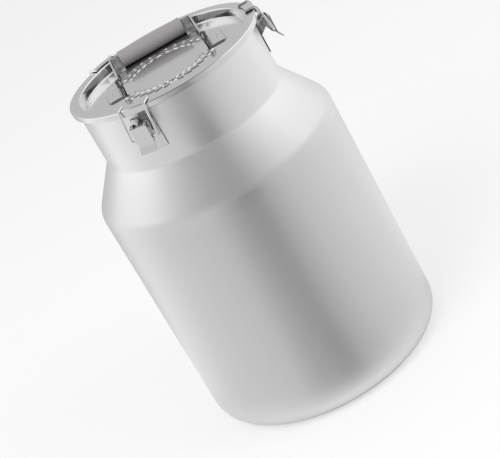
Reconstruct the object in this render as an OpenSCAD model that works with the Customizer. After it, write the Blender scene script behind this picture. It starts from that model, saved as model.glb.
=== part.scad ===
// Milk can with a dished lid, a folding bail handle and three toggle latches.
// Origin at the middle of the standing face, +Z up, the front is -Y.

/* [Can] */
// Outside diameter of the body
body_d = 250; // [230:1:280]
// Height of the top of the lid's flange
can_h = 360; // [300:1:420]
// Height of the neck, up to the top of the lid
neck_l = 64; // [58:1:80]
// Height of the sloping shoulder, from its lower edge to the neck
shoulder_h = 44; // [36:1:60]
// Outside diameter of the neck
neck_d = 187; // [168:1:206]
// Thickness of the steel of the can
can_wall = 1.2; // [0.8:0.1:2]
// Radius of the corner round the bottom
corner_r = 19; // [10:1:30]
// Radius of the edge between the body and the shoulder
shoulder_r = 16; // [8:1:22]
// Radius of the hollow between the shoulder and the neck
neck_r = 7; // [3:1:12]
// Distance of the welded seam below the shoulder's edge
seam_drop = 14; // [12:1:30]
// Diameter of the pressed-up middle of the bottom
base_panel_d = 160; // [100:1:180]
// Rise of the pressed-up middle of the bottom
base_rise = 4; // [2:0.5:8]
// Diameter of the bead rolled round the mouth
bead_d = 3.8; // [3:0.1:4.4]

/* [Lid] */
// How far the lid reaches beyond the neck, on each side
lid_over = 5.3; // [5:0.1:8]
// Thickness of the lid's sheet
lid_t = 0.9; // [0.6:0.1:1.2]
// Height of the lip that turns down round the lid
lip_h = 5; // [4:0.5:7]
// Distance of the recess's edge in from the outside of the neck
recess_in = 5.5; // [5:0.1:8]
// Depth of the recess
recess_depth = 9.5; // [7:0.5:14]
// How far the recess wall leans in on each side
recess_lean = 1.5; // [0.5:0.5:3]
// Thickness of the lid's seal
seal_t = 2.2; // [1.5:0.1:3]
// Distance of the middle of the embossed wreath in from the grip's axis
wreath_in = 20; // [18:0.5:22]
// Length of one leaf of the wreath
leaf_l = 13; // [10:1:15]
// Width of one leaf of the wreath
leaf_w = 4.6; // [3:0.1:6]
// Height of the embossed leaves
leaf_h = 0.8; // [0.4:0.1:1.2]

/* [Handle] */
// Diameter of the grip
grip_d = 17; // [14:0.5:20]
// Length of the grip
grip_l = 70; // [60:1:76]
// Distance of the grip's axis in from the recess's edge
grip_in = 22; // [20:0.5:28]
// Width of the handle's steel strap
strap_w = 11.5; // [9:0.5:12]
// Thickness of the handle's steel strap
strap_t = 1.6; // [1:0.1:2]
// Distance between the two ears that carry the handle
ear_gap = 92; // [88:1:94]
// Thickness of the sheet of the brackets
bracket_t = 1.5; // [1:0.1:2]
// Length of a bracket along its ear
bracket_l = 34; // [28:1:40]
// Width of a bracket's foot
foot_w = 16.5; // [12:0.5:20]
// Diameter of the rivets of the handle
rivet_d = 4; // [3:0.5:5]

/* [Latches] */
// Bearing of the front latch, turned to the left of the front
latch_turn = 26.5; // [0:0.5:45]
// Diameter of the latch wire
wire_d = 2.2; // [1.6:0.1:2.6]
// Distance between the two legs of the latch wire
wire_span = 27; // [26:0.5:32]
// Width of the lever's face
lever_w = 16.5; // [15:0.5:18]
// Thickness of the sheet of the latches
latch_t = 1.2; // [0.8:0.1:1.4]
// Diameter of the pin that carries the lever
pin_d = 3; // [2:0.5:4]
// Distance of the lever's pin from the neck
pin_out = 10; // [9:0.5:12]
// Depth of the lever's pin below the top of the lid
pin_drop = 17; // [16:0.5:20]
// Depth of the top of the neck's plate below the top of the lid
plate_drop = 12; // [10:0.5:14]
// Distance of the wire's pivot outward from the lever's pin
throw_out = 3; // [2:0.5:4]
// Distance of the wire's pivot below the lever's pin
throw_down = 11; // [10:0.5:13]
// Length of the lever below its pin
lever_l = 23; // [20:0.5:26]
// Width of the plate on the neck
plate_w = 22; // [18:1:24]
// Height of the plate on the neck
plate_h = 34; // [30:1:36]

/* [Fits] */
// Gap where one piece seats on another
seat_gap = 0.3; // [0.2:0.05:0.5]
// Clearance of a pin that turns in its bore, on the radius
pin_gap = 0.05; // [0.03:0.01:0.1]
// Gap between a clamp and the lid
clamp_gap = 0.4; // [0.3:0.05:0.6]

/* [Hidden] */
$fn = 96;
arc_steps = 8;
body_r = body_d / 2;
neck_rad = neck_d / 2;
lid_r = neck_rad + lid_over;
recess_r = neck_rad - recess_in;
neck_z = can_h - neck_l;
shoulder_z = neck_z - shoulder_h;
seam_z = shoulder_z - seam_drop;
seal_z = can_h - lid_t - seal_t;
bead_top = seal_z - seat_gap;
bead_z = bead_top - bead_d / 2;
bead_r = neck_rad - can_wall + bead_d / 2;
lip_inner_r = lid_r - lid_t;
floor_z = can_h - recess_depth;
weld_gap = 0.05;

// Handle: the grip lies on the floor of the recess, one seat gap above it
arm_l = recess_r - grip_in;
wreath_r = arm_l - wreath_in;
pivot_z = floor_z + seat_gap + grip_d / 2;
ear_x = ear_gap / 2;
ear_rim = 3;
ear_r = rivet_d / 2 + ear_rim;
strap_side_gap = 0.4;
strap_x = ear_x - strap_side_gap;
strap_bend = 3.5;
rivet_head_over = 1.5;
rivet_head_d = rivet_d + 2 * rivet_head_over;
rivet_head_t = 1.2;
rivet_play = 0.2;

// Latches: radii from the can's axis, heights in the can's frame
pin_r = neck_rad + pin_out;
pin_z = can_h - pin_drop;
pivot_r = pin_r + throw_out;
wire_z = pin_z - throw_down;
hook_z = can_h + clamp_gap + wire_d / 2;
clamp_side_gap = 0.5;
clamp_t = 1;
clamp_r = lid_r + clamp_side_gap;
knee_out = 1.5;
knee_r = clamp_r + clamp_t / 2 + knee_out;
hook_short = 1.6;
hook_r = recess_r + hook_short;
leg_x = wire_span / 2;
clamp_half = asin((leg_x - wire_d / 2 - seat_gap) / (clamp_r + clamp_t));
plate_z = can_h - plate_drop;
plate_r = neck_rad + weld_gap;
plate_half = asin(plate_w / 2 / plate_r);
ear_off = 0.35;
cheek_x = lever_w / 2 - latch_t / 2;
latch_ear_x = cheek_x - latch_t - ear_off;
latch_ear_rim = 2.5;
latch_ear_r = pin_d / 2 + latch_ear_rim;
face_gap = 0.6;
face_r = pin_r + latch_ear_r + face_gap;
lever_top = 2;
flare_out = 3.8;
flare_l = 6;
latch_turns = [-latch_turn, 120 - latch_turn, 240 - latch_turn];

// ---- outlines ----

function unit(v) = v / norm(v);
function left(v) = [-v[1], v[0]];
function point(p) = [p[0], p[1]];
function reversed(v) = [for (i = [len(v) - 1:-1:0]) v[i]];

// The arc of radius p[2] that rounds the corner p between its neighbours a and b
function rounded_corner(a, p, b) =
  let (
    u = unit(point(a) - point(p)),
    v = unit(point(b) - point(p)),
    half = acos(u * v) / 2,
    middle = point(p) + unit(u + v) * p[2] / sin(half),
    from = point(p) + u * p[2] / tan(half) - middle,
    side = sign(cross(-u, v)),
    sweep = side * (180 - 2 * half)
  )
  [for (i = [0:arc_steps])
    let (t = sweep * i / arc_steps)
    middle + [from[0] * cos(t) - from[1] * sin(t), from[0] * sin(t) + from[1] * cos(t)]];

function rounded(path) =
  [for (i = [0:len(path) - 1])
    each (path[i][2] > 0 ? rounded_corner(path[i - 1], path[i], path[i + 1]) : [point(path[i])])];

// The same path moved to its left by t, with each radius following
function moved(path, t) =
  [for (i = [0:len(path) - 1])
    let (
      last = len(path) - 1,
      into = i > 0 ? unit(point(path[i]) - point(path[i - 1])) : unit(point(path[1]) - point(path[0])),
      out = i < last ? unit(point(path[i + 1]) - point(path[i])) : into,
      m = left(into) + left(out),
      q = point(path[i]) + m * t / (1 + left(into) * left(out)),
      turn = sign(cross(into, out))
    )
    [q[0], q[1], path[i][2] > 0 ? path[i][2] - turn * t : 0]];

// A sheet of thickness t to the left of a path
module sheet(path, t) {
  polygon(concat(rounded(path), reversed(rounded(moved(path, t)))));
}

// ---- can ----

module can_body() {
  panel_bend = 8;
  color("silver")
    rotate_extrude()
      sheet([
        [0, base_rise, 0],
        [base_panel_d / 2, base_rise, panel_bend],
        [base_panel_d / 2 + 2 * base_rise, 0, panel_bend],
        [body_r, 0, corner_r],
        [body_r, seam_z, 0]
      ], can_wall);
}

module shoulder_neck() {
  color("silver") {
    rotate_extrude()
      sheet([
        [body_r, seam_z, 0],
        [body_r, shoulder_z, shoulder_r],
        [neck_rad, neck_z, neck_r],
        [neck_rad, bead_z, 0]
      ], can_wall);
    rotate_extrude()
      translate([bead_r, bead_z])
        circle(d = bead_d, $fn = 32);
  }
}

// ---- lid ----

module leaf() {
  bow = (leaf_l * leaf_l / 4 + leaf_w * leaf_w / 4) / leaf_w;
  intersection() {
    translate([0, leaf_w / 2 - bow, 0])
      cylinder(r = bow, h = leaf_h + lid_t / 2, $fn = 64);
    translate([0, bow - leaf_w / 2, 0])
      cylinder(r = bow, h = leaf_h + lid_t / 2, $fn = 64);
  }
}

// Two branches of leaves in pairs, open where the brackets stand
module wreath() {
  pairs = 6;
  step = 10.5;
  lean = 30;
  half_pair = 4.2;
  row_turn = 1.5;
  for (way = [0, 180])
    for (hand = [0, 1])
      for (i = [0:pairs - 1])
        for (row = [-1, 1])
          rotate([0, 0, way])
            mirror([hand, 0, 0])
              rotate([0, 0, -(i + 0.5) * step - row * row_turn])
                translate([0, wreath_r + row * half_pair, floor_z - lid_t / 2])
                  rotate([0, 0, row * lean])
                    leaf();
}

module lid() {
  recess_bend = 1.6;
  lip_bend = 1.2;
  color("gainsboro") {
    rotate_extrude()
      sheet([
        [0, floor_z, 0],
        [recess_r - recess_lean, floor_z, recess_bend],
        [recess_r, can_h, recess_bend],
        [lid_r, can_h, lip_bend],
        [lid_r, can_h - lip_h, 0]
      ], -lid_t);
    wreath();
  }
}

module lid_seal() {
  wall_gap = 2;
  lip_gap = 0.6;
  seal_in = recess_r + lid_t + wall_gap;
  seal_out = lip_inner_r - lip_gap;
  color("whitesmoke")
    rotate_extrude()
      translate([seal_in, seal_z])
        square([seal_out - seal_in, seal_t]);
}

// ---- handle ----

module bracket() {
  corner = 3;
  shoulder_up = 1.5;
  dimple_x = ear_x + foot_w / 2 + 2;
  dimple_up = 3.6;
  dimple_r = 4.2;
  difference() {
    union() {
      translate([ear_x, -bracket_l / 2, floor_z])
        cube([foot_w - corner, bracket_l, bracket_t]);
      translate([ear_x, corner - bracket_l / 2, floor_z])
        cube([foot_w, bracket_l - 2 * corner, bracket_t]);
      for (side = [-1, 1])
        translate([ear_x + foot_w - corner, side * (bracket_l / 2 - corner), floor_z])
          cylinder(r = corner, h = bracket_t, $fn = 32);
      translate([ear_x, 0, 0])
        rotate([90, 0, 90])
          linear_extrude(height = bracket_t) {
            polygon([
              [-bracket_l / 2, floor_z],
              [bracket_l / 2, floor_z],
              [bracket_l / 2, floor_z + bracket_t + shoulder_up],
              [ear_r * 0.8, pivot_z + ear_r * 0.6],
              [-ear_r * 0.8, pivot_z + ear_r * 0.6],
              [-bracket_l / 2, floor_z + bracket_t + shoulder_up]
            ]);
            translate([0, pivot_z])
              circle(r = ear_r, $fn = 48);
          }
    }
    translate([0, 0, pivot_z])
      rotate([0, 90, 0])
        cylinder(d = rivet_d + 2 * pin_gap, h = 2 * (ear_x + foot_w), $fn = 32);
    translate([dimple_x, 0, floor_z + bracket_t + dimple_up])
      sphere(r = dimple_r, $fn = 48);
  }
}

module bracket_left() {
  color("silver")
    mirror([1, 0, 0])
      bracket();
}

module bracket_right() {
  color("silver")
    bracket();
}

module rivet() {
  inner_x = strap_x - strap_t - rivet_play;
  outer_x = ear_x + bracket_t;
  translate([0, 0, pivot_z])
    rotate([0, 90, 0]) {
      translate([0, 0, inner_x - rivet_head_t])
        cylinder(d = rivet_d, h = outer_x - inner_x + 2 * rivet_head_t, $fn = 32);
      translate([0, 0, inner_x - rivet_head_t])
        cylinder(d = rivet_head_d, h = rivet_head_t, $fn = 32);
      translate([0, 0, outer_x])
        cylinder(d = rivet_head_d, h = rivet_head_t, $fn = 32);
    }
}

module handle_rivet_left() {
  color("dimgray")
    mirror([1, 0, 0])
      rivet();
}

module handle_rivet_right() {
  color("dimgray")
    rivet();
}

// The strap lies back over the lid, level, with its grip behind the wreath
module handle_strap() {
  back_y = arm_l + strap_t / 2;
  color("silver")
    translate([0, 0, pivot_z])
      difference() {
        intersection() {
          translate([0, 0, -strap_w / 2])
            linear_extrude(height = strap_w)
              sheet([
                [-strap_x, -strap_w / 2, 0],
                [-strap_x, back_y, strap_bend],
                [strap_x, back_y, strap_bend],
                [strap_x, -strap_w / 2, 0]
              ], -strap_t);
          union() {
            rotate([0, 90, 0])
              cylinder(d = strap_w, h = 2 * ear_gap, center = true, $fn = 48);
            translate([-ear_gap, 0, -strap_w])
              cube([2 * ear_gap, 2 * arm_l, 2 * strap_w]);
          }
        }
        rotate([0, 90, 0])
          cylinder(d = rivet_d + 2 * pin_gap, h = 2 * ear_gap, center = true, $fn = 32);
      }
}

module handle_grip() {
  slot_gap = 0.1;
  edge = 1.5;
  color("gray")
    translate([0, arm_l, pivot_z])
      difference() {
        rotate([0, 90, 0])
          translate([0, 0, -grip_l / 2])
            rotate_extrude()
              polygon(rounded([
                [0, 0, 0],
                [grip_d / 2, 0, edge],
                [grip_d / 2, grip_l, edge],
                [0, grip_l, 0]
              ]));
        cube([2 * grip_l, strap_t + 2 * slot_gap, strap_w + 2 * slot_gap], center = true);
      }
}

// ---- latches ----

module at_latch(i) {
  rotate([0, 0, latch_turns[i]])
    children();
}

// A plate of width w across the latch, from an outline of (radius, height)
module side_plate(w, x = 0) {
  translate([x, 0, 0])
    rotate([90, 0, -90])
      linear_extrude(height = w, center = true)
        children();
}

module cross_pin(r, z, d, l) {
  translate([0, -r, z])
    rotate([0, 90, 0])
      cylinder(d = d, h = l, center = true, $fn = 32);
}

module ring_piece(half) {
  rotate([0, 0, -90 - half])
    rotate_extrude(angle = 2 * half)
      children();
}

module latch_base(i) {
  root_r = plate_r + latch_t / 2;
  root_top = 3.5;
  root_low = 12;
  dimple_x = 4;
  dimple_up = 3.5;
  dimple_out = 1.7;
  dimple_r = 2.3;
  color("silver")
    at_latch(i)
      difference() {
        union() {
          ring_piece(plate_half)
            translate([plate_r, plate_z - plate_h])
              square([latch_t, plate_h]);
          for (side = [-1, 1])
            side_plate(latch_t, side * latch_ear_x) {
              polygon([
                [root_r, pin_z - root_low],
                [pin_r + latch_ear_r * 0.7, pin_z - latch_ear_r * 0.7],
                [pin_r - latch_ear_r * 0.7, pin_z + latch_ear_r * 0.7],
                [root_r, pin_z - root_top]
              ]);
              translate([pin_r, pin_z])
                circle(r = latch_ear_r, $fn = 48);
            }
        }
        cross_pin(pin_r, pin_z, pin_d + 2 * pin_gap, lever_w);
        for (side = [-1, 1])
          translate([side * dimple_x, -plate_r - latch_t - dimple_out, plate_z - plate_h + dimple_up])
            sphere(r = dimple_r, $fn = 32);
      }
}

module latch_pin(i) {
  head_t = 0.9;
  head_gap = 0.1;
  head_over = 1.2;
  head_x = lever_w / 2 + head_gap;
  color("dimgray")
    at_latch(i) {
      cross_pin(pin_r, pin_z, pin_d, 2 * (head_x + head_t));
      for (side = [-1, 1])
        translate([side * (head_x + head_t / 2), 0, 0])
          cross_pin(pin_r, pin_z, pin_d + 2 * head_over, head_t);
    }
}

module latch_lever(i) {
  low_z = pin_z - lever_l;
  flare_r = face_r + flare_out;
  wire_rim = 1.6;
  color("silver")
    at_latch(i)
      difference() {
        union() {
          side_plate(lever_w)
            polygon([
              [face_r, pin_z + lever_top],
              [face_r, low_z + flare_l],
              [flare_r, low_z],
              [flare_r + latch_t, low_z],
              [face_r + latch_t, low_z + flare_l],
              [face_r + latch_t, pin_z + lever_top]
            ]);
          for (side = [-1, 1])
            side_plate(latch_t, side * cheek_x) {
              polygon([
                [pin_r - latch_ear_r * 0.5, pin_z + latch_ear_r * 0.8],
                [face_r + latch_t, pin_z + lever_top],
                [face_r + latch_t, low_z + flare_l],
                [pivot_r - wire_d, wire_z - wire_d * 0.8],
                [pin_r - latch_ear_r * 0.9, pin_z - latch_ear_r * 0.4]
              ]);
              translate([pin_r, pin_z])
                circle(r = latch_ear_r - 0.1, $fn = 48);
              translate([pivot_r, wire_z])
                circle(r = wire_d / 2 + wire_rim, $fn = 48);
            }
        }
        cross_pin(pin_r, pin_z, pin_d + 2 * pin_gap, 2 * lever_w);
        cross_pin(pivot_r, wire_z, wire_d + 2 * pin_gap, 2 * lever_w);
      }
}

// One straight piece of wire between two points of (x, radius, height), with a round end
module wire_run(a, b) {
  from = [a[0], -a[1], a[2]];
  run = [b[0], -b[1], b[2]] - from;
  translate(from) {
    rotate([0, acos(run[2] / norm(run)), atan2(run[1], run[0])])
      cylinder(d = wire_d, h = norm(run), $fn = 32);
    translate(run)
      sphere(d = wire_d, $fn = 32);
  }
}

module latch_wire(i) {
  color("lightgray")
    at_latch(i) {
      cross_pin(pivot_r, wire_z, wire_d, wire_span);
      for (side = [-1, 1]) {
        low = [side * leg_x, pivot_r, wire_z];
        knee = [side * leg_x, knee_r, hook_z];
        end = [side * leg_x, hook_r, hook_z];
        wire_run(low, knee);
        wire_run(end, knee);
        translate([low[0], -low[1], low[2]])
          sphere(d = wire_d, $fn = 32);
        translate([end[0], -end[1], end[2]])
          sphere(d = wire_d, $fn = 32);
      }
    }
}

// The clamp lies over the rim of the lid, between the legs of the wire
module latch_clamp(i) {
  clamp_short = 3;
  clamp_bend = 0.8;
  color("silver")
    at_latch(i)
      ring_piece(clamp_half)
        sheet([
          [recess_r + clamp_short, can_h + clamp_gap, 0],
          [clamp_r, can_h + clamp_gap, clamp_bend],
          [clamp_r, can_h - lip_h, 0]
        ], clamp_t);
}

can_body();
shoulder_neck();
lid();
lid_seal();
bracket_left();
bracket_right();
handle_rivet_left();
handle_rivet_right();
handle_strap();
handle_grip();
latch_base(0);  // front_latch_base
latch_pin(0);  // front_latch_pin
latch_lever(0);  // front_latch_lever
latch_wire(0);  // front_latch_wire
latch_clamp(0);  // front_latch_clamp
latch_base(1);  // right_latch_base
latch_pin(1);  // right_latch_pin
latch_lever(1);  // right_latch_lever
latch_wire(1);  // right_latch_wire
latch_clamp(1);  // right_latch_clamp
latch_base(2);  // rear_latch_base
latch_pin(2);  // rear_latch_pin
latch_lever(2);  // rear_latch_lever
latch_wire(2);  // rear_latch_wire
latch_clamp(2);  // rear_latch_clamp
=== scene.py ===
"""Milk can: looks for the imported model. Metres, in the frame of the CAD model."""
import math

import bpy
import bmesh
import numpy as np
from mathutils import Matrix, Vector


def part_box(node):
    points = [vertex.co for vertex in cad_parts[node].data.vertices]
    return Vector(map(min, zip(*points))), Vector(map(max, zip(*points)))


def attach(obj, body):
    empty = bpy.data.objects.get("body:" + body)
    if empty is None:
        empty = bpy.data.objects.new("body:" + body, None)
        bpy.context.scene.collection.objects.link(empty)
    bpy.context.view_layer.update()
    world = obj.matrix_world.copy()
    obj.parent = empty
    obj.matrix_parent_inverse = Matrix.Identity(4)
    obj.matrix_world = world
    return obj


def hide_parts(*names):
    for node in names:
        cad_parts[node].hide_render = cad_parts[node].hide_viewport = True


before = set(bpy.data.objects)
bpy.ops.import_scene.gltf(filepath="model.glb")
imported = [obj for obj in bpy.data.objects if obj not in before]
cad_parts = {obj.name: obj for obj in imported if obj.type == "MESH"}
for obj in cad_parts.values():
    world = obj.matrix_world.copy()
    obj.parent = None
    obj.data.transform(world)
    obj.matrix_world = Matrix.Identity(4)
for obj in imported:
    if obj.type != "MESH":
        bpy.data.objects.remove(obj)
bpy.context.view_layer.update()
MM = 0.001


# ---- sizes, from the frame ----

def low(node):
    """Lowest corner of a CAD node's box."""
    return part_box(node)[0]


def high(node):
    """Highest corner of a CAD node's box."""
    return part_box(node)[1]


WALL = 1.2 * MM
BODY_R = high("can_body")[0]
SEAM_Z = high("can_body")[2]
LID_R = high("lid")[0]
LID_Z = high("lid")[2]
LID_T = 0.9 * MM
FLOOR_Z = low("lid")[2] + LID_T
LIP_H = 5 * MM
RECESS_R = 88 * MM
RECESS_LEAN = 1.5 * MM
NECK_R = 93.5 * MM
NECK_Z = 296 * MM
SHOULDER_Z = 252 * MM
BEAD_D = 3.8 * MM
BEAD_TOP = high("shoulder_neck")[2]
MIDDLE = Vector((0, 0, LID_Z / 2))
GRIP_LOW, GRIP_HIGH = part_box("handle_grip")
GRIP_D = GRIP_HIGH[2] - GRIP_LOW[2]
GRIP_Z = (GRIP_HIGH[2] + GRIP_LOW[2]) / 2
GRIP_Y = (GRIP_HIGH[1] + GRIP_LOW[1]) / 2
LATCH_TURN = {"front": -26.5, "right": 93.5, "rear": 213.5}
WIRE_D = 2.2 * MM
LEG_X = 13.5 * MM
PIN_R, PIN_Z = 103.5 * MM, LID_Z - 17 * MM
PIVOT_R, PIVOT_Z = PIN_R + 3 * MM, PIN_Z - 11 * MM
CLAMP_GAP = 0.4 * MM
HOOK_Z = LID_Z + CLAMP_GAP + WIRE_D / 2
KNEE_R = LID_R + CLAMP_GAP + 2.1 * MM
HOOK_R = RECESS_R + 1.6 * MM


# ---- outlines, as in the CAD model ----

def unit(v):
    """The vector at length 1."""
    return v / np.linalg.norm(v)


def left_of(v):
    """The vector a quarter turn to the left."""
    return np.array([-v[1], v[0]])


def rounded(path, steps=12):
    """The path's points, with each corner (x, y, radius) turned into an arc."""
    points = []
    for i, (x, y, radius) in enumerate(path):
        p = np.array([x, y])
        if radius <= 0:
            points.append(p)
            continue
        u = unit(np.array(path[i - 1][:2]) - p)
        v = unit(np.array(path[i + 1][:2]) - p)
        half = math.acos(np.clip(u @ v, -1, 1)) / 2
        middle = p + unit(u + v) * radius / math.sin(half)
        start = p + u * radius / math.tan(half) - middle
        side = math.copysign(1, -u[0] * v[1] + u[1] * v[0])
        for k in range(steps + 1):
            t = side * (math.pi - 2 * half) * k / steps
            turn = np.array([[math.cos(t), -math.sin(t)], [math.sin(t), math.cos(t)]])
            points.append(middle + turn @ start)
    return points


def moved(path, t):
    """The path moved to its left by t, with each radius following."""
    out = []
    for i, (x, y, radius) in enumerate(path):
        p = np.array([x, y])
        before = unit(p - np.array(path[i - 1][:2])) if i else None
        after = unit(np.array(path[i + 1][:2]) - p) if i + 1 < len(path) else None
        a = left_of(before if before is not None else after)
        b = left_of(after if after is not None else before)
        q = p + (a + b) * t / (1 + a @ b)
        side = math.copysign(1, a[0] * b[1] - a[1] * b[0]) if radius > 0 else 0
        out.append((q[0], q[1], radius - side * t if radius > 0 else 0))
    return out


# ---- meshes ----

def finish_mesh(name, verts, faces, angle=35):
    """A smooth-shaded object whose edges sharper than the angle stay sharp."""
    mesh = bpy.data.meshes.new(name)
    mesh.from_pydata([tuple(v) for v in verts], [], faces)
    mesh.validate()
    mesh.shade_smooth()
    mesh.set_sharp_from_angle(angle=math.radians(angle))
    obj = bpy.data.objects.new(name, mesh)
    bpy.context.scene.collection.objects.link(obj)
    return obj


def lathe(name, outline, segments=240, angle=35, lift=None):
    """Turns a closed outline of (radius, height) round Z. Points on the axis become one vertex."""
    verts, faces, rings = [], [], []
    turns = np.linspace(0, 2 * math.pi, segments, endpoint=False)
    for r, z in outline:
        if r < 1e-7:
            rings.append([len(verts)] * segments)
            verts.append((0, 0, z))
            continue
        start = len(verts)
        dz = lift(r, turns, z) if lift else np.zeros(segments)
        verts.extend(zip(r * np.cos(turns), r * np.sin(turns), z + dz))
        rings.append(list(range(start, start + segments)))
    count = len(rings)
    for i in range(count):
        a, b = rings[i], rings[(i + 1) % count]
        if a[0] == a[1] and b[0] == b[1]:
            continue
        for k in range(segments):
            n = (k + 1) % segments
            face = [a[k], a[n], b[n], b[k]]
            face = [v for j, v in enumerate(face) if v not in face[:j]]
            faces.append(face)
    return finish_mesh(name, verts, faces, angle)


def tube(name, points, radius, sides=20, cap=4):
    """A round wire along the points, with hemispherical ends."""
    points = [Vector(p) for p in points]
    verts, faces, rings = [], [], []
    tangent = (points[1] - points[0]).normalized()
    side = tangent.orthogonal().normalized()
    for k in range(cap):
        a = math.pi / 2 * (1 - k / cap)
        rings.append((points[0] - tangent * radius * math.sin(a), radius * math.cos(a), tangent))
    for i, p in enumerate(points):
        before = (p - points[i - 1]).normalized() if i else tangent
        after = (points[i + 1] - p).normalized() if i + 1 < len(points) else before
        rings.append((p, radius, (before + after).normalized()))
    end = (points[-1] - points[-2]).normalized()
    for k in range(1, cap + 1):
        a = math.pi / 2 * k / cap
        rings.append((points[-1] + end * radius * math.sin(a), radius * math.cos(a), end))
    for centre, r, along in rings:
        side = (side - along * side.dot(along)).normalized()
        other = along.cross(side)
        for k in range(sides):
            a = 2 * math.pi * k / sides
            verts.append(centre + (side * math.cos(a) + other * math.sin(a)) * max(r, 1e-6))
    for i in range(len(rings) - 1):
        for k in range(sides):
            n = (k + 1) % sides
            faces.append([i * sides + k, i * sides + n, (i + 1) * sides + n, (i + 1) * sides + k])
    faces.append(list(range(sides))[::-1])
    faces.append([(len(rings) - 1) * sides + k for k in range(sides)])
    return finish_mesh(name, verts, faces, 60)


def smooth_path(corners, radius, steps=8):
    """Points along straight runs in space whose corners are rounded."""
    points = [Vector(corners[0])]
    for a, p, b in zip(corners, corners[1:], corners[2:]):
        a, p, b = Vector(a), Vector(p), Vector(b)
        u, v = (a - p).normalized(), (b - p).normalized()
        half = u.angle(v) / 2
        reach = min(radius / math.tan(half), (a - p).length * 0.45, (b - p).length * 0.45)
        start, end = p + u * reach, p + v * reach
        for k in range(steps + 1):
            t = k / steps
            points.append(start * (1 - t) ** 2 + p * 2 * t * (1 - t) + end * t ** 2)
    points.append(Vector(corners[-1]))
    return points


def dress(obj, material, body, node):
    """Gives a piece its material, the body that it rides on and the CAD node that it stands for."""
    obj.data.materials.append(material)
    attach(obj, body)
    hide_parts(node)


# ---- materials ----

def new_material(name, colour, metallic, roughness):
    """A material with its nodes, its links and its main shader."""
    mat = bpy.data.materials.new(name)
    mat.use_nodes = True
    shader = mat.node_tree.nodes["Principled BSDF"]
    shader.inputs["Base Color"].default_value = (*colour, 1)
    shader.inputs["Metallic"].default_value = metallic
    shader.inputs["Roughness"].default_value = roughness
    return mat, mat.node_tree.nodes, mat.node_tree.links, shader


def ramp(nodes, links, value, stops):
    """Maps a value from stops[0:2] to stops[2:4]."""
    node = nodes.new("ShaderNodeMapRange")
    node.inputs["From Min"].default_value, node.inputs["From Max"].default_value = stops[:2]
    node.inputs["To Min"].default_value, node.inputs["To Max"].default_value = stops[2:]
    links.new(value, node.inputs["Value"])
    return node.outputs["Result"]


def noise(nodes, links, coords, scale, detail=3.0, stretch=(1, 1, 1)):
    """Noise fixed to the object, stretched along an axis by a small number there."""
    mapping = nodes.new("ShaderNodeMapping")
    mapping.inputs["Scale"].default_value = stretch
    node = nodes.new("ShaderNodeTexNoise")
    node.inputs["Scale"].default_value = scale
    node.inputs["Detail"].default_value = detail
    links.new(coords, mapping.inputs["Vector"])
    links.new(mapping.outputs["Vector"], node.inputs["Vector"])
    return node.outputs["Fac"]


def steel(name, tone, roughness, grain=0.05, grain_scale=900, mottle=0.03, stretch=(1, 1, 1), bump=0.02,
          crevice=0.0, crevice_shade=0.25, foot_tone=None):
    """Stainless steel: fine grain in roughness and bump, a faint broad mottle, and painted shade, which
    darkens the colour in crevices where ambient occlusion finds nearby surfaces.

    With a foot_tone, the colour starts from that tone at the seam and reaches its own at the neck.
    """
    mat, nodes, links, shader = new_material(name, [tone] * 3, 1.0, roughness)
    coords = nodes.new("ShaderNodeTexCoord").outputs["Object"]
    fine = noise(nodes, links, coords, grain_scale, 4.0, stretch)
    broad = noise(nodes, links, coords, 14, 2.0)
    links.new(ramp(nodes, links, fine, (0.3, 0.7, roughness - grain, roughness + grain)),
              shader.inputs["Roughness"])
    mix = nodes.new("ShaderNodeMix")
    mix.data_type = "RGBA"
    mix.inputs["A"].default_value = (*[tone - mottle] * 3, 1)
    mix.inputs["B"].default_value = (*[tone + mottle] * 3, 1)
    links.new(broad, mix.inputs["Factor"])
    colour = mix.outputs["Result"]
    if foot_tone:
        height = nodes.new("ShaderNodeSeparateXYZ")
        links.new(coords, height.inputs[0])
        fade = nodes.new("ShaderNodeMix")
        fade.data_type = "RGBA"
        fade.inputs["A"].default_value = (*[foot_tone] * 3, 1)
        links.new(colour, fade.inputs["B"])
        links.new(ramp(nodes, links, height.outputs["Z"], (SEAM_Z, NECK_Z, 0.0, 1.0)), fade.inputs["Factor"])
        colour = fade.outputs["Result"]
    # Painted shade: the colour goes dark in crevices, where ambient occlusion finds other surfaces within the
    # crevice distance.
    if crevice:
        shade = nodes.new("ShaderNodeAmbientOcclusion")
        shade.samples = 8
        shade.inputs["Distance"].default_value = crevice
        dark = nodes.new("ShaderNodeMix")
        dark.data_type = "RGBA"
        dark.inputs["A"].default_value = (*[tone * crevice_shade] * 3, 1)
        links.new(colour, dark.inputs["B"])
        links.new(ramp(nodes, links, shade.outputs["AO"], (0.35, 0.85, 0.0, 1.0)), dark.inputs["Factor"])
        colour = dark.outputs["Result"]
    links.new(colour, shader.inputs["Base Color"])
    node = nodes.new("ShaderNodeBump")
    node.inputs["Strength"].default_value = bump
    node.inputs["Distance"].default_value = 0.0002
    links.new(fine, node.inputs["Height"])
    links.new(node.outputs["Normal"], shader.inputs["Normal"])
    return mat


def grip_plastic():
    """Grey moulded plastic with a faint eggshell skin."""
    mat, nodes, links, shader = new_material("grip_plastic", (0.33, 0.31, 0.313), 0.0, 0.45)
    coords = nodes.new("ShaderNodeTexCoord").outputs["Object"]
    fine = noise(nodes, links, coords, 1400, 3.0)
    broad = noise(nodes, links, coords, 60, 2.0)
    links.new(ramp(nodes, links, broad, (0.3, 0.7, 0.38, 0.52)), shader.inputs["Roughness"])
    node = nodes.new("ShaderNodeBump")
    node.inputs["Strength"].default_value = 0.15
    node.inputs["Distance"].default_value = 0.0002
    links.new(fine, node.inputs["Height"])
    links.new(node.outputs["Normal"], shader.inputs["Normal"])
    return mat


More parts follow.
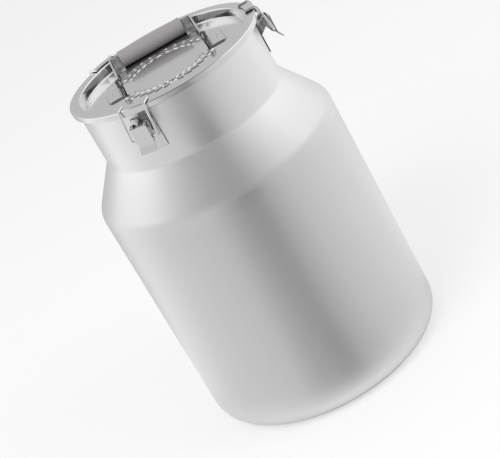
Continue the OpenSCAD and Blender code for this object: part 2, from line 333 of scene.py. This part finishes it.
def silicone():
    """White silicone rubber."""
    mat, nodes, links, shader = new_material("seal_silicone", (0.82, 0.82, 0.8), 0.0, 0.5)
    coords = nodes.new("ShaderNodeTexCoord").outputs["Object"]
    links.new(ramp(nodes, links, noise(nodes, links, coords, 300), (0.3, 0.7, 0.42, 0.58)),
              shader.inputs["Roughness"])
    return mat


# Painted shade: each steel given a crevice distance is darkened in its crevices, and the number after it is
# the share of the tone left there.
BODY_STEEL = steel("body_steel", 0.75, 0.36, 0.04, 1800, 0.01, bump=0.02)
NECK_STEEL = steel("neck_steel", 0.85, 0.33, 0.04, 1800, 0.01, bump=0.02, crevice=6 * MM, crevice_shade=0.5,
                   foot_tone=0.75)
LID_STEEL = steel("lid_steel", 0.8, 0.11, 0.03, 900, 0.02, bump=0.02, crevice=2.5 * MM, crevice_shade=0.1)
SHEET_STEEL = steel("sheet_steel", 0.78, 0.16, 0.05, 700, 0.03, (1, 1, 0.15), 0.05, crevice=5 * MM,
                    crevice_shade=0.04)
STRAP_STEEL = steel("strap_steel", 0.78, 0.16, 0.05, 700, 0.03, (0.1, 1, 1), 0.05, crevice=5 * MM, crevice_shade=0.1)
WIRE_STEEL = steel("wire_steel", 0.88, 0.12, 0.04, 900, 0.02, (1, 1, 0.2), 0.03, crevice=1.5 * MM, crevice_shade=0.2)
RIVET_STEEL = steel("rivet_steel", 0.5, 0.25, 0.06, 900, 0.05, bump=0.05, crevice=3 * MM, crevice_shade=0.1)
GRIP = grip_plastic()
SEAL = silicone()


# ---- can ----

def can_body():
    """Side wall, bottom corner and raised middle of the bottom, as one shell."""
    base_r, rise = 80 * MM, 4 * MM
    path = [(0, rise, 0), (base_r, rise, 8 * MM), (base_r + 2 * rise, 0, 8 * MM), (BODY_R, 0, 19 * MM),
            (BODY_R, SEAM_Z, 0)]
    outline = rounded(path, 16) + rounded(moved(path, WALL), 16)[::-1]
    dress(lathe("can_shell", outline), BODY_STEEL, "can", "can_body")


def shoulder_neck():
    """Shoulder and neck, with the bead rolled round the mouth."""
    bead_z = BEAD_TOP - BEAD_D / 2
    bead_r = NECK_R - WALL + BEAD_D / 2
    path = [(BODY_R, SEAM_Z, 0), (BODY_R, SHOULDER_Z, 16 * MM), (NECK_R, NECK_Z, 7 * MM),
            (NECK_R, bead_z - BEAD_D / 2, 0.8 * MM)]
    outer = rounded(path[:3] + [(NECK_R, bead_z - BEAD_D / 2, 0)], 20)
    inner = rounded(moved(path[:3] + [(NECK_R, bead_z, 0)], WALL), 20)
    bead = [np.array([bead_r + BEAD_D / 2 * math.cos(a), bead_z + BEAD_D / 2 * math.sin(a)])
            for a in np.linspace(math.radians(-110), math.radians(180), 22)]
    outline = outer + bead + inner[::-1]
    dress(lathe("shoulder_and_neck", outline), NECK_STEEL, "can", "shoulder_neck")


# ---- lid ----

WREATH_R = 46 * MM
LEAF_L, LEAF_W, LEAF_H = 13 * MM, 4.6 * MM, 0.7 * MM
LEAF_EDGE = 0.8 * MM
LEAF_GROOVE = 0.5
PAIRS, PAIR_STEP, ROW_TURN, LEAN, HALF_PAIR = 6, 10.5, 1.5, 30, 4.2 * MM
WREATH_REACH = 12 * MM


def leaves():
    """Middle and direction of every leaf of the wreath: two branches of pairs, open at the brackets."""
    found = []
    for way in (0, math.pi):
        for hand in (1, -1):
            for i in range(PAIRS):
                for row in (-1, 1):
                    turn = math.radians((i + 0.5) * PAIR_STEP + row * ROW_TURN)
                    r = WREATH_R + row * HALF_PAIR
                    x, y = r * math.sin(turn), r * math.cos(turn)
                    aim = math.radians(row * LEAN) - turn
                    dx, dy = math.cos(aim), math.sin(aim)
                    x, dx = hand * x, hand * dx
                    c, s = math.cos(way), math.sin(way)
                    found.append((c * x - s * y, s * x + c * y, c * dx - s * dy, s * dx + c * dy))
    return np.array(found)


def wreath_lift(r, turns, z):
    """Height of the pressed leaves over the lid's floor, with a groove down the middle of each."""
    lift = np.zeros(len(turns))
    if abs(r - WREATH_R) > WREATH_REACH or abs(z - FLOOR_Z) > 1.2 * LID_T:
        return lift
    x, y = r * np.cos(turns), r * np.sin(turns)
    for cx, cy, dx, dy in LEAVES:
        along = ((x - cx) * dx + (y - cy) * dy) / (LEAF_L / 2)
        across = (-(x - cx) * dy + (y - cy) * dx) / (LEAF_W / 2)
        edge = (np.clip(1 - along ** 2, 0, None) - np.abs(across)) * LEAF_W / 2 / LEAF_EDGE
        rise = np.clip(edge, 0, 1)
        rise = rise * rise * (3 - 2 * rise)
        groove = LEAF_GROOVE * np.exp(-(across / 0.14) ** 2)
        lift = np.maximum(lift, LEAF_H * rise * (1 - groove))
    return lift


LEAVES = leaves()


def lid():
    """Lip, flange, recess and floor, with fine rings where the wreath is pressed in."""
    wall_foot = RECESS_R - RECESS_LEAN
    fine_rings = list(np.arange(34, 58.1, 0.4))
    rings = [(r * MM, FLOOR_Z, 0) for r in [0, 20, 32] + fine_rings + [62, 72]]
    path = rings + [(wall_foot, FLOOR_Z, 1.6 * MM), (RECESS_R, LID_Z, 1.6 * MM), (LID_R, LID_Z, 1.2 * MM),
                    (LID_R, LID_Z - LIP_H, 0)]
    outline = rounded(path, 8) + rounded(moved(path, -LID_T), 8)[::-1]
    made = lathe("lid_pressing", outline, 900, 40, wreath_lift)
    dress(made, LID_STEEL, "lid", "lid")


# ---- handle ----

def grip():
    """Sleeve on the back bar of the strap."""
    half = (GRIP_HIGH[0] - GRIP_LOW[0]) / 2
    r, edge = GRIP_D / 2, 1.5 * MM
    outline = rounded([(0, -half, 0), (r, -half, edge), (r, half, edge), (0, half, 0)], 8)
    made = lathe("grip_sleeve", outline, 96)
    turn = Matrix.Rotation(math.radians(90), 4, "Y")
    made.data.transform(Matrix.Translation((0, GRIP_Y, GRIP_Z)) @ turn)
    dress(made, GRIP, "handle", "handle_grip")


# ---- latches ----

def at_latch(which, obj):
    """Turns a piece from the front to its latch."""
    obj.data.transform(Matrix.Rotation(math.radians(LATCH_TURN[which]), 4, "Z"))
    return obj


def latch_wire(which):
    """The wire: two legs, hooked in over the rim, and the bar between them through the lever."""
    corners = []
    for side in (-1, 1):
        x = side * LEG_X
        run = [(x, -HOOK_R, HOOK_Z), (x, -KNEE_R, HOOK_Z), (x, -PIVOT_R, PIVOT_Z)]
        corners += run if side < 0 else run[::-1]
    made = tube(which + "_wire", smooth_path(corners, 2.4 * MM), WIRE_D / 2)
    at_latch(which, made)
    dress(made, WIRE_STEEL, which + "_hook", which + "_latch_wire")


# ---- stage ----

# What the metal mirrors, by bearing: degrees from the front to the right, and brightness
TENT_LOW = ((-90, 0.82), (-60, 0.72), (-30, 0.68), (-8, 0.44), (8, 0.32), (24, 0.54), (45, 0.7), (90, 0.84),
            (125, 0.95), (155, 0.8), (180, 0.52), (205, 0.55), (222, 0.66), (240, 1.0), (260, 0.9))
TENT_HIGH = ((-90, 1.05), (-55, 0.62), (-25, 0.46), (10, 0.36), (35, 0.66), (60, 0.9), (90, 1.15), (130, 1.2),
             (165, 0.62), (195, 0.62), (230, 1.1), (255, 1.15))


# Radius of the black top of the tent
TENT_TOP_R = 0.75


def bearing_tones(nodes, links, bearing, tones):
    """Grey by bearing, from a list of bearings and tones."""
    node = nodes.new("ShaderNodeValToRGB")
    node.color_ramp.interpolation = "EASE"
    stops = node.color_ramp.elements
    while len(stops) < len(tones):
        stops.new(0.5)
    for stop, (degrees, tone) in zip(stops, tones):
        stop.position = degrees / 360 + 0.25
        stop.color = (tone, tone, tone, 1)
    links.new(bearing, node.inputs["Fac"])
    return node.outputs["Color"]


def tent():
    """A light tent that only reflections see, darkest in front and brightest at the sides."""
    profile = rounded([(0.16, 0.002, 0), (1.4, 0.002, 0.3), (1.5, 1.2, 0.5), (0, 2.2, 0)], 8)
    made = lathe("light_tent", profile + profile[-2:0:-1], 96)
    made.visible_camera = False
    made.visible_shadow = False
    made.visible_diffuse = False
    made.visible_transmission = False
    mat = bpy.data.materials.new("light_tent")
    mat.use_nodes = True
    nodes, links = mat.node_tree.nodes, mat.node_tree.links
    nodes.clear()
    coords = nodes.new("ShaderNodeTexCoord").outputs["Object"]
    bearing = nodes.new("ShaderNodeTexGradient")
    bearing.gradient_type = "RADIAL"
    links.new(coords, bearing.inputs["Vector"])
    split = nodes.new("ShaderNodeSeparateXYZ")
    links.new(coords, split.inputs[0])
    mix = nodes.new("ShaderNodeMix")
    mix.data_type = "RGBA"
    links.new(ramp(nodes, links, split.outputs["Z"], (0.3, 1.3, 0.0, 1.0)), mix.inputs["Factor"])
    links.new(bearing_tones(nodes, links, bearing.outputs["Fac"], TENT_LOW), mix.inputs["A"])
    links.new(bearing_tones(nodes, links, bearing.outputs["Fac"], TENT_HIGH), mix.inputs["B"])
    reach = nodes.new("ShaderNodeVectorMath")
    reach.operation = "LENGTH"
    flat = nodes.new("ShaderNodeVectorMath")
    flat.operation = "MULTIPLY"
    flat.inputs[1].default_value = (1, 1, 0)
    links.new(coords, flat.inputs[0])
    links.new(flat.outputs["Vector"], reach.inputs[0])
    top = ramp(nodes, links, reach.outputs["Value"], (TENT_TOP_R, TENT_TOP_R + 0.1, 0.12, 1.0))
    high = ramp(nodes, links, split.outputs["Z"], (0.9, 1.0, 0.0, 1.0))
    cap = nodes.new("ShaderNodeMix")
    cap.inputs["A"].default_value = 1.0
    links.new(high, cap.inputs["Factor"])
    links.new(top, cap.inputs["B"])
    glow = nodes.new("ShaderNodeEmission")
    links.new(mix.outputs["Result"], glow.inputs["Color"])
    links.new(cap.outputs["Result"], glow.inputs["Strength"])
    out = nodes.new("ShaderNodeOutputMaterial")
    links.new(glow.outputs[0], out.inputs[0])
    made.data.materials.append(mat)


def dark_card():
    """A low black card in front, which the polished rim of the lid mirrors as a short dark mark."""
    inner, outer, start, end = 0.8, 1.15, math.radians(-8), math.radians(19)
    steps = 12
    verts = [(d * math.sin(a), -d * math.cos(a), 0.004)
             for a in np.linspace(start, end, steps) for d in (inner, outer)]
    made = finish_mesh("dark_card", verts, [(k, k + 1, k + 3, k + 2) for k in range(0, 2 * steps - 2, 2)])
    made.visible_camera = False
    made.visible_shadow = False
    made.visible_diffuse = False
    made.data.materials.append(new_material("dark_card", (0.01, 0.01, 0.01), 0.0, 0.9)[0])


def floor():
    """White paper that keeps the can's shadow."""
    mesh = bpy.data.meshes.new("floor")
    half = 6
    mesh.from_pydata([(-half, -half, 0), (half, -half, 0), (half, half, 0), (-half, half, 0)], [],
                     [(0, 1, 2, 3)])
    made = bpy.data.objects.new("floor", mesh)
    bpy.context.scene.collection.objects.link(made)
    mat, nodes, links, shader = new_material("floor_paper", (0.94, 0.94, 0.94), 0.0, 0.8)
    shader.inputs["Specular IOR Level"].default_value = 0.0
    glow = nodes.new("ShaderNodeEmission")
    path = nodes.new("ShaderNodeLightPath")
    share = nodes.new("ShaderNodeMath")
    share.operation = "MULTIPLY"
    share.inputs[1].default_value = 0.55
    links.new(path.outputs["Is Camera Ray"], share.inputs[0])
    mix = nodes.new("ShaderNodeMixShader")
    out = nodes["Material Output"]
    links.new(share.outputs[0], mix.inputs[0])
    links.new(shader.outputs[0], mix.inputs[1])
    links.new(glow.outputs[0], mix.inputs[2])
    links.new(mix.outputs[0], out.inputs[0])
    mesh.materials.append(mat)


def lamp(name, azimuth, elevation, distance, size, power):
    """A square lamp aimed at the can's middle, which metal doesn't mirror."""
    data = bpy.data.lights.new(name, "AREA")
    data.shape = "SQUARE"
    data.size = size
    data.energy = power
    obj = bpy.data.objects.new(name, data)
    bpy.context.scene.collection.objects.link(obj)
    a, e = math.radians(azimuth), math.radians(elevation)
    back = Vector((math.sin(a) * math.cos(e), -math.cos(a) * math.cos(e), math.sin(e)))
    obj.location = MIDDLE + back * distance
    obj.rotation_euler = (-back).to_track_quat("-Z", "Y").to_euler()
    obj.visible_glossy = False


def lights():
    """White all round for the camera and mirrors, softer fill for the rest, and two lamps."""
    world = bpy.data.worlds.new("studio")
    bpy.context.scene.world = world
    world.use_nodes = True
    nodes, links = world.node_tree.nodes, world.node_tree.links
    nodes.clear()
    path = nodes.new("ShaderNodeLightPath")
    seen = nodes.new("ShaderNodeMath")
    seen.operation = "MAXIMUM"
    links.new(path.outputs["Is Camera Ray"], seen.inputs[0])
    links.new(path.outputs["Is Glossy Ray"], seen.inputs[1])
    either = nodes.new("ShaderNodeMath")
    either.operation = "MAXIMUM"
    links.new(seen.outputs[0], either.inputs[0])
    links.new(path.outputs["Is Transmission Ray"], either.inputs[1])
    white = nodes.new("ShaderNodeBackground")
    white.inputs["Color"].default_value = (1, 1, 1, 1)
    fill = nodes.new("ShaderNodeBackground")
    fill.inputs["Color"].default_value = (1, 1, 1, 1)
    fill.inputs["Strength"].default_value = 0.7
    mix = nodes.new("ShaderNodeMixShader")
    out = nodes.new("ShaderNodeOutputWorld")
    links.new(either.outputs[0], mix.inputs[0])
    links.new(fill.outputs[0], mix.inputs[1])
    links.new(white.outputs[0], mix.inputs[2])
    links.new(mix.outputs[0], out.inputs[0])
    lamp("key", -40, 50, 2.2, 1.2, 18)
    lamp("fill", 60, 40, 2.4, 1.4, 10)


def camera():
    """The can leans in the picture because the camera is rolled."""
    data = bpy.data.cameras.new("camera")
    data.sensor_width = 36
    data.lens = 113.1
    data.shift_x, data.shift_y = 0.0044, -0.0354
    obj = bpy.data.objects.new("camera", data)
    bpy.context.scene.collection.objects.link(obj)
    distance, elevation, roll = 1.5508, math.radians(23.28), math.radians(29.71)
    back = Vector((0, -math.cos(elevation), math.sin(elevation)))
    right = Vector((1, 0, 0))
    up = back.cross(right)
    turned_right = right * math.cos(roll) - up * math.sin(roll)
    turned_up = right * math.sin(roll) + up * math.cos(roll)
    pose = Matrix((turned_right, turned_up, back)).transposed().to_4x4()
    pose.translation = MIDDLE + back * distance
    obj.matrix_world = pose
    bpy.context.scene.camera = obj


def carried_over():
    """The CAD nodes that stay, with their finishes."""
    finish = {"lid_seal": SEAL, "bracket_left": SHEET_STEEL, "bracket_right": SHEET_STEEL,
              "handle_rivet_left": RIVET_STEEL, "handle_rivet_right": RIVET_STEEL,
              "handle_strap": STRAP_STEEL}
    for which in LATCH_TURN:
        finish[which + "_latch_base"] = SHEET_STEEL
        finish[which + "_latch_pin"] = RIVET_STEEL
        finish[which + "_latch_lever"] = SHEET_STEEL
        finish[which + "_latch_clamp"] = SHEET_STEEL
    for node, material in finish.items():
        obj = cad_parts[node]
        obj.data.materials.clear()
        obj.data.materials.append(material)


camera()
can_body()
shoulder_neck()
lid()
grip()
for latch in LATCH_TURN:
    latch_wire(latch)
carried_over()
tent()
dark_card()
floor()
lights()
bpy.context.scene.view_settings.view_transform = "Standard"
